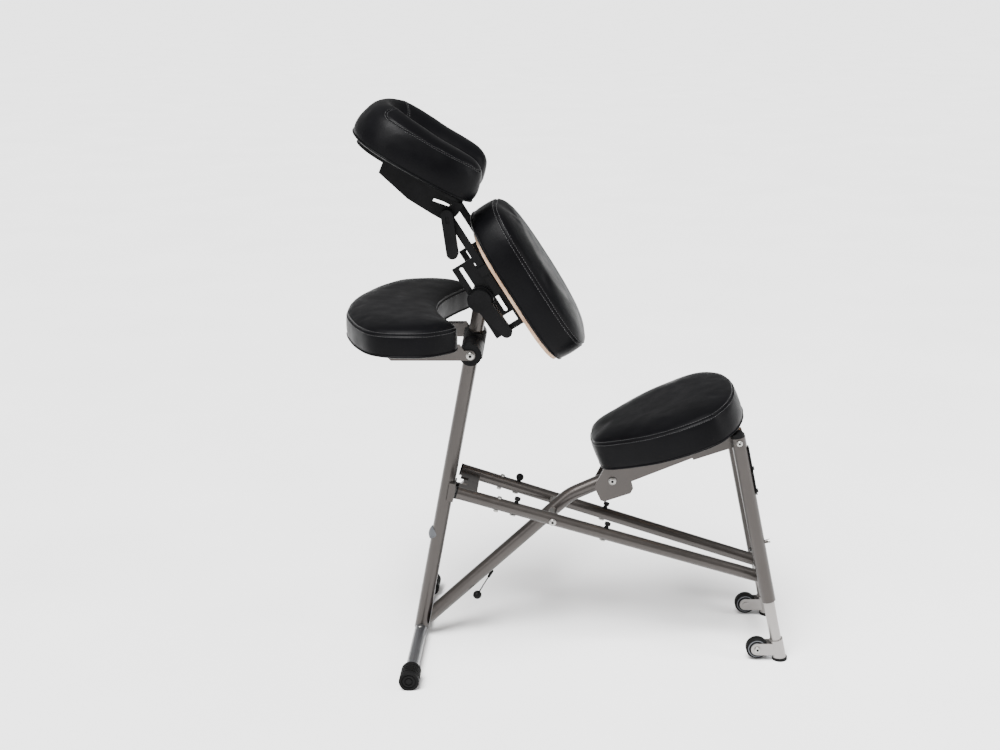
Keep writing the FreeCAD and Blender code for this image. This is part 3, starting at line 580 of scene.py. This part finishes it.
def pad(name, node, body, half, place, side, crown, reach, puff, cap, seams=(), pressure=4.0,
        settle=10, top_seam=None, lift_from=None):
    """A whole pad: crowned form, pressed seams, stitching and a piped lower edge. Lengths in mm."""
    control = [(x * MM, y * MM) for x, y in both_halves(half)]
    outline = closed_curve(control, 260)
    area = sum(a.x * b.y - b.x * a.y for a, b in zip(outline, outline[1:] + outline[:1]))
    if area < 0:
        outline.reverse()
    raised = lift_from and [value * MM for value in lift_from]
    raw = raw_pad(outline, side * MM, crown * MM, reach * MM, puff * MM, raised)
    mesh = swell(raw, cap * MM, pressure, settle)
    if top_seam:
        tree = surface(mesh)
        for _, side_of in SIDES:
            press_line(mesh, top_path(tree, top_seam, side_of), 1.6 * MM, 1.8 * MM)
    for height in seams:
        press_seam(mesh, height * MM, SEAM_DEPTH, SEAM_WIDTH)
    reshape(mesh, lambda co, normal: co + normal * UNEVENNESS * noise.fractal(co * 16, 1.0, 2.0, 3)
            * min(1.0, max(0.0, co.z / 0.02)))
    smooth(mesh)
    vinyl_look = LOOKS["black_vinyl"]
    pieces = [new_object(name + "_cushion", mesh, body, vinyl_look)]
    tree = surface(mesh)
    for row, stitches in enumerate(stitch_rows(tree, outline, seams, top_seam), 1):
        pieces.append(new_object(f"{name}_stitches_{row}", stitches, body, THREAD))
    piping = piping_mesh(seam_path(tree, outline, 5.5 * MM), PIPING_RADIUS, 0.0004)
    pieces.append(new_object(name + "_lower_piping", piping, body, vinyl_look))
    for piece in pieces:
        piece.data.transform(place)
    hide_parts(node)


def plane_of(joint_name, tilt, offset):
    """A tilted pad plane, placed from one of the joints that the frame names."""
    base = Vector(joint(joint_name)["pos_m"])
    return Matrix.Translation(base + Vector(offset)) @ Matrix.Rotation(math.radians(tilt), 4, "Y")


# ------------------------------------------------------------------ the pads

# Half outlines in mm, from the middle line round the side with positive Y and back to it.
SEAT_HALF = [(-170, 0), (-168, 40), (-155, 76), (-113, 110), (-35, 152), (44, 168), (95, 163), (126, 142),
             (150, 106), (165, 58), (170, 0)]
CHEST_HALF = [(-150, 0), (-148, 45), (-135, 86), (-104, 115), (-60, 133), (0, 138), (70, 138), (125, 132),
              (170, 112), (199, 78), (212, 40), (215, 0)]
CRADLE_HALF = [(-143, 0), (-138, 52), (-120, 98), (-86, 131), (-38, 147), (20, 149), (75, 145), (112, 132),
               (134, 112), (142, 88), (136, 64), (118, 51), (86, 47), (40, 46), (0, 46), (-38, 42), (-64, 28),
               (-76, 0)]
ARMREST_HALF = [(-495, 0), (-491, 60), (-476, 117), (-449, 181), (-411, 231), (-345, 249), (-290, 238),
                (-252, 208), (-243, 190), (-246, 171), (-270, 120), (-291, 60), (-298, 0)]

# The seam on one cheek of the face cradle, from its free end to the rim of the face opening.
CRADLE_SEAM = [(128, 100), (112, 116), (75, 130), (20, 135), (-38, 133), (-72, 123), (-89, 110), (-92, 97),
               (-85, 84), (-70, 65), (-57, 46)]

pad("seat", "seat_pad", "seat", SEAT_HALF, plane_of("seat_fold", -20.8, (-0.1383, 0, -0.0285)),
    side=66, crown=17, reach=75, puff=1.5, cap=1.4, seams=(66,), pressure=2.5, settle=12)
pad("chest", "chest_pad", "chest", CHEST_HALF, plane_of("chest_tilt", 58.4, (0.0528, 0, 0.0325)),
    side=62, crown=23, reach=80, puff=2.0, cap=3, seams=(62,))
pad("cradle", "cradle_pad", "cradle", CRADLE_HALF, plane_of("cradle_tilt", 29.5, (-0.0765, 0, 0.092)),
    side=46, crown=42, reach=54, puff=4.0, cap=4, settle=9, top_seam=CRADLE_SEAM,
    lift_from=(30, -95, 12))
pad("armrest", "armrest_pad", "armrest", ARMREST_HALF, Matrix.Translation((0.008, 0, 0.744)),
    side=50, crown=19, reach=70, puff=1.0, cap=1.2, seams=(50,), pressure=2.5, settle=12)


# ------------------------------------------------------------------ small metal details

def turned(profile, sides=28):
    """A mesh turned about Z from (radius, height) points, with its ends closed."""
    bm = bmesh.new()
    turns = [k * 2 * math.pi / sides for k in range(sides)]
    rings = [[bm.verts.new((r * math.cos(turn), r * math.sin(turn), z)) for turn in turns] for r, z in profile]
    for a, b in zip(rings, rings[1:]):
        for k in range(sides):
            bm.faces.new((a[k], a[(k + 1) % sides], b[(k + 1) % sides], b[k]))
    bm.faces.new(rings[0][::-1])
    bm.faces.new(rings[-1])
    return finished_mesh("turned", bm)


def ring_mesh(inner, outer, thick):
    """A flat washer with rounded faces, about Z."""
    sides = 48
    bm = bmesh.new()
    middle, half = (inner + outer) / 2, (outer - inner) / 2
    section = [(middle + half * math.cos(k * math.pi / 4), thick * math.sin(k * math.pi / 4)) for k in range(8)]
    rings = [[bm.verts.new((r * math.cos(a), r * math.sin(a), z)) for r, z in section]
             for a in (k * 2 * math.pi / sides for k in range(sides))]
    for i in range(sides):
        a, b = rings[i], rings[(i + 1) % sides]
        for k in range(8):
            bm.faces.new((a[k], b[k], b[(k + 1) % 8], a[(k + 1) % 8]))
    mesh = finished_mesh("ring", bm)
    smooth(mesh)
    return mesh


def facing(where, direction):
    """A place whose Z axis points along the direction."""
    return Matrix.Translation(where) @ Vector(direction).to_track_quat("Z", "X").to_matrix().to_4x4()


def socket_head(name, body, where, direction, radius):
    """A domed screw head on a flat bolt end, with a black hexagon on its top as painted shade where the socket's
    recess would be.
    """
    place = facing(where, direction)
    dome = turned([(radius, -0.0004), (radius, 0.0004), (radius * 0.93, 0.0012), (radius * 0.72, 0.0019),
                   (radius * 0.5, 0.0021)])
    dome.transform(place)
    smooth(dome)
    new_object(name + "_dome", dome, body, LOOKS["zinc"])
    # Painted shade: a black hexagon standing slightly proud of the dome stands in for the dark inside the socket,
    # which is not cut into the head.
    socket_shade_hexagon = turned([(radius * 0.44, 0.0016), (radius * 0.44, 0.0023)], 6)
    socket_shade_hexagon.transform(place)
    new_object(name + "_socket_painted_shade", socket_shade_hexagon, body, LOOKS["black_steel"])


def socket_heads(node, body):
    """Screw heads on the round ends that lie furthest out to each side of the node."""
    low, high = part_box(node)
    outer = max(abs(low[1]), abs(high[1]))
    count = 0
    for start, end in shells(node):
        if abs((end.x - start.x) - (end.z - start.z)) > 0.0005:
            continue
        for y in (start.y, end.y):
            if abs(abs(y) - outer) < 0.0005:
                count += 1
                where = ((start.x + end.x) / 2, y, (start.z + end.z) / 2)
                radius = (end.x - start.x) * 0.46
                socket_head(f"{node}_head_{count}", body, where, (0, math.copysign(1, y), 0), radius)


TYRE_RINGS = ((0.0125, 0.0142), (0.0180, 0.0202))  # inner and outer radius of each


def wheel_trim(side):
    """Moulded rings on both faces of a tyre."""
    tyre_low, tyre_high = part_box("tyre_" + side)
    centre = [(a + b) / 2 for a, b in zip(tyre_low, tyre_high)]
    for face, y, way in (("a", tyre_low[1], -1), ("b", tyre_high[1], 1)):
        for row, (inner, outer) in enumerate(TYRE_RINGS):
            mesh = ring_mesh(inner, outer, 0.0007)
            mesh.transform(facing((centre[0], y, centre[2]), (0, way, 0)))
            new_object(f"tyre_ring_{side}_{face}{row}", mesh, "wheel_" + side, LOOKS["grey_rubber"])


for node, body in (("seat_bolts", "seat"), ("armrest_bolts", "armrest"), ("cross_pivot_bolt", "rail_frame"),
                   ("leg_top_bolts", "rear_legs")):
    socket_heads(node, body)
for side, sign in SIDES:
    wheel_trim(side)
    axle = Vector(joint("wheel_spin_" + side)["pos_m"])
    bracket_low, bracket_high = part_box("wheel_bracket_" + side)
    face = bracket_high[1] if sign > 0 else bracket_low[1]
    socket_head("axle_head_" + side, "lower_leg_" + side, (axle.x, face, axle.z), (0, sign, 0), 0.0068)
bar_low, bar_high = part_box("t_bar")
for side, sign in SIDES:
    rivet = turned([(0.0042, -0.0006), (0.0042, 0.0004), (0.0032, 0.0015), (0.0012, 0.0021)])
    rivet.transform(facing(((bar_low[0] + bar_high[0]) / 2, sign * 0.026, bar_high[2] - 0.0004), (0, 0, 1)))
    smooth(rivet)
    new_object("t_bar_rivet_" + side, rivet, "front_post", LOOKS["zinc"])


# ------------------------------------------------------------------ stage, light and camera

def area_light(name, where, aim, size, power):
    data = bpy.data.lights.new(name, "AREA")
    data.shape = "RECTANGLE"
    data.size, data.size_y = size
    data.energy = power
    lamp = bpy.data.objects.new(name, data)
    lamp.location = where
    lamp.rotation_euler = (Vector(aim) - Vector(where)).to_track_quat("-Z", "Y").to_euler()
    bpy.context.scene.collection.objects.link(lamp)


floor_mesh = bpy.data.meshes.new("floor")
FLOOR_HALF = 60.0
corners = ((-1, -1), (1, -1), (1, 1), (-1, 1))
floor_mesh.from_pydata([(x * FLOOR_HALF, y * FLOOR_HALF, 0) for x, y in corners], [], [(0, 1, 2, 3)])
floor = bpy.data.objects.new("floor", floor_mesh)
bpy.context.scene.collection.objects.link(floor)
paper = Shader("floor_paper", roughness=0.9)
paper.base(paper.colour(paper.noise(2.0, 2), (0.88, 0.88, 0.88), (0.92, 0.92, 0.92)))
floor_mesh.materials.append(paper.material)

world = bpy.data.worlds.new("studio")
bpy.context.scene.world = world
world.use_nodes = True
world.node_tree.nodes["Background"].inputs["Color"].default_value = (1, 1, 1, 1)
world.node_tree.nodes["Background"].inputs["Strength"].default_value = 0.5
sun = bpy.data.lights.new("sun", "SUN")
sun.energy = 10.5
sun.angle = math.radians(35)
sun_lamp = bpy.data.objects.new("sun", sun)
sun_lamp.rotation_euler = (math.radians(24), math.radians(-12), 0)
bpy.context.scene.collection.objects.link(sun_lamp)
area_light("front_left", (-2.6, -2.4, 2.2), (0, 0, 0.6), (0.9, 2.0), 42)
area_light("right_side", (3.0, -0.8, 1.8), (0, 0, 0.6), (0.8, 2.2), 70)

CAMERA_DROP = 16.7  # degrees below level
camera_data = bpy.data.cameras.new("camera")
camera_data.lens = 50.04
camera_data.sensor_width = 36.0
camera_data.shift_x = -0.075
camera_data.clip_end = 300
camera = bpy.data.objects.new("camera", camera_data)
camera.location = (0.008, -2.953, 1.524)
camera.rotation_euler = (math.radians(90 - CAMERA_DROP), 0, 0)
bpy.context.scene.collection.objects.link(camera)
bpy.context.scene.camera = camera
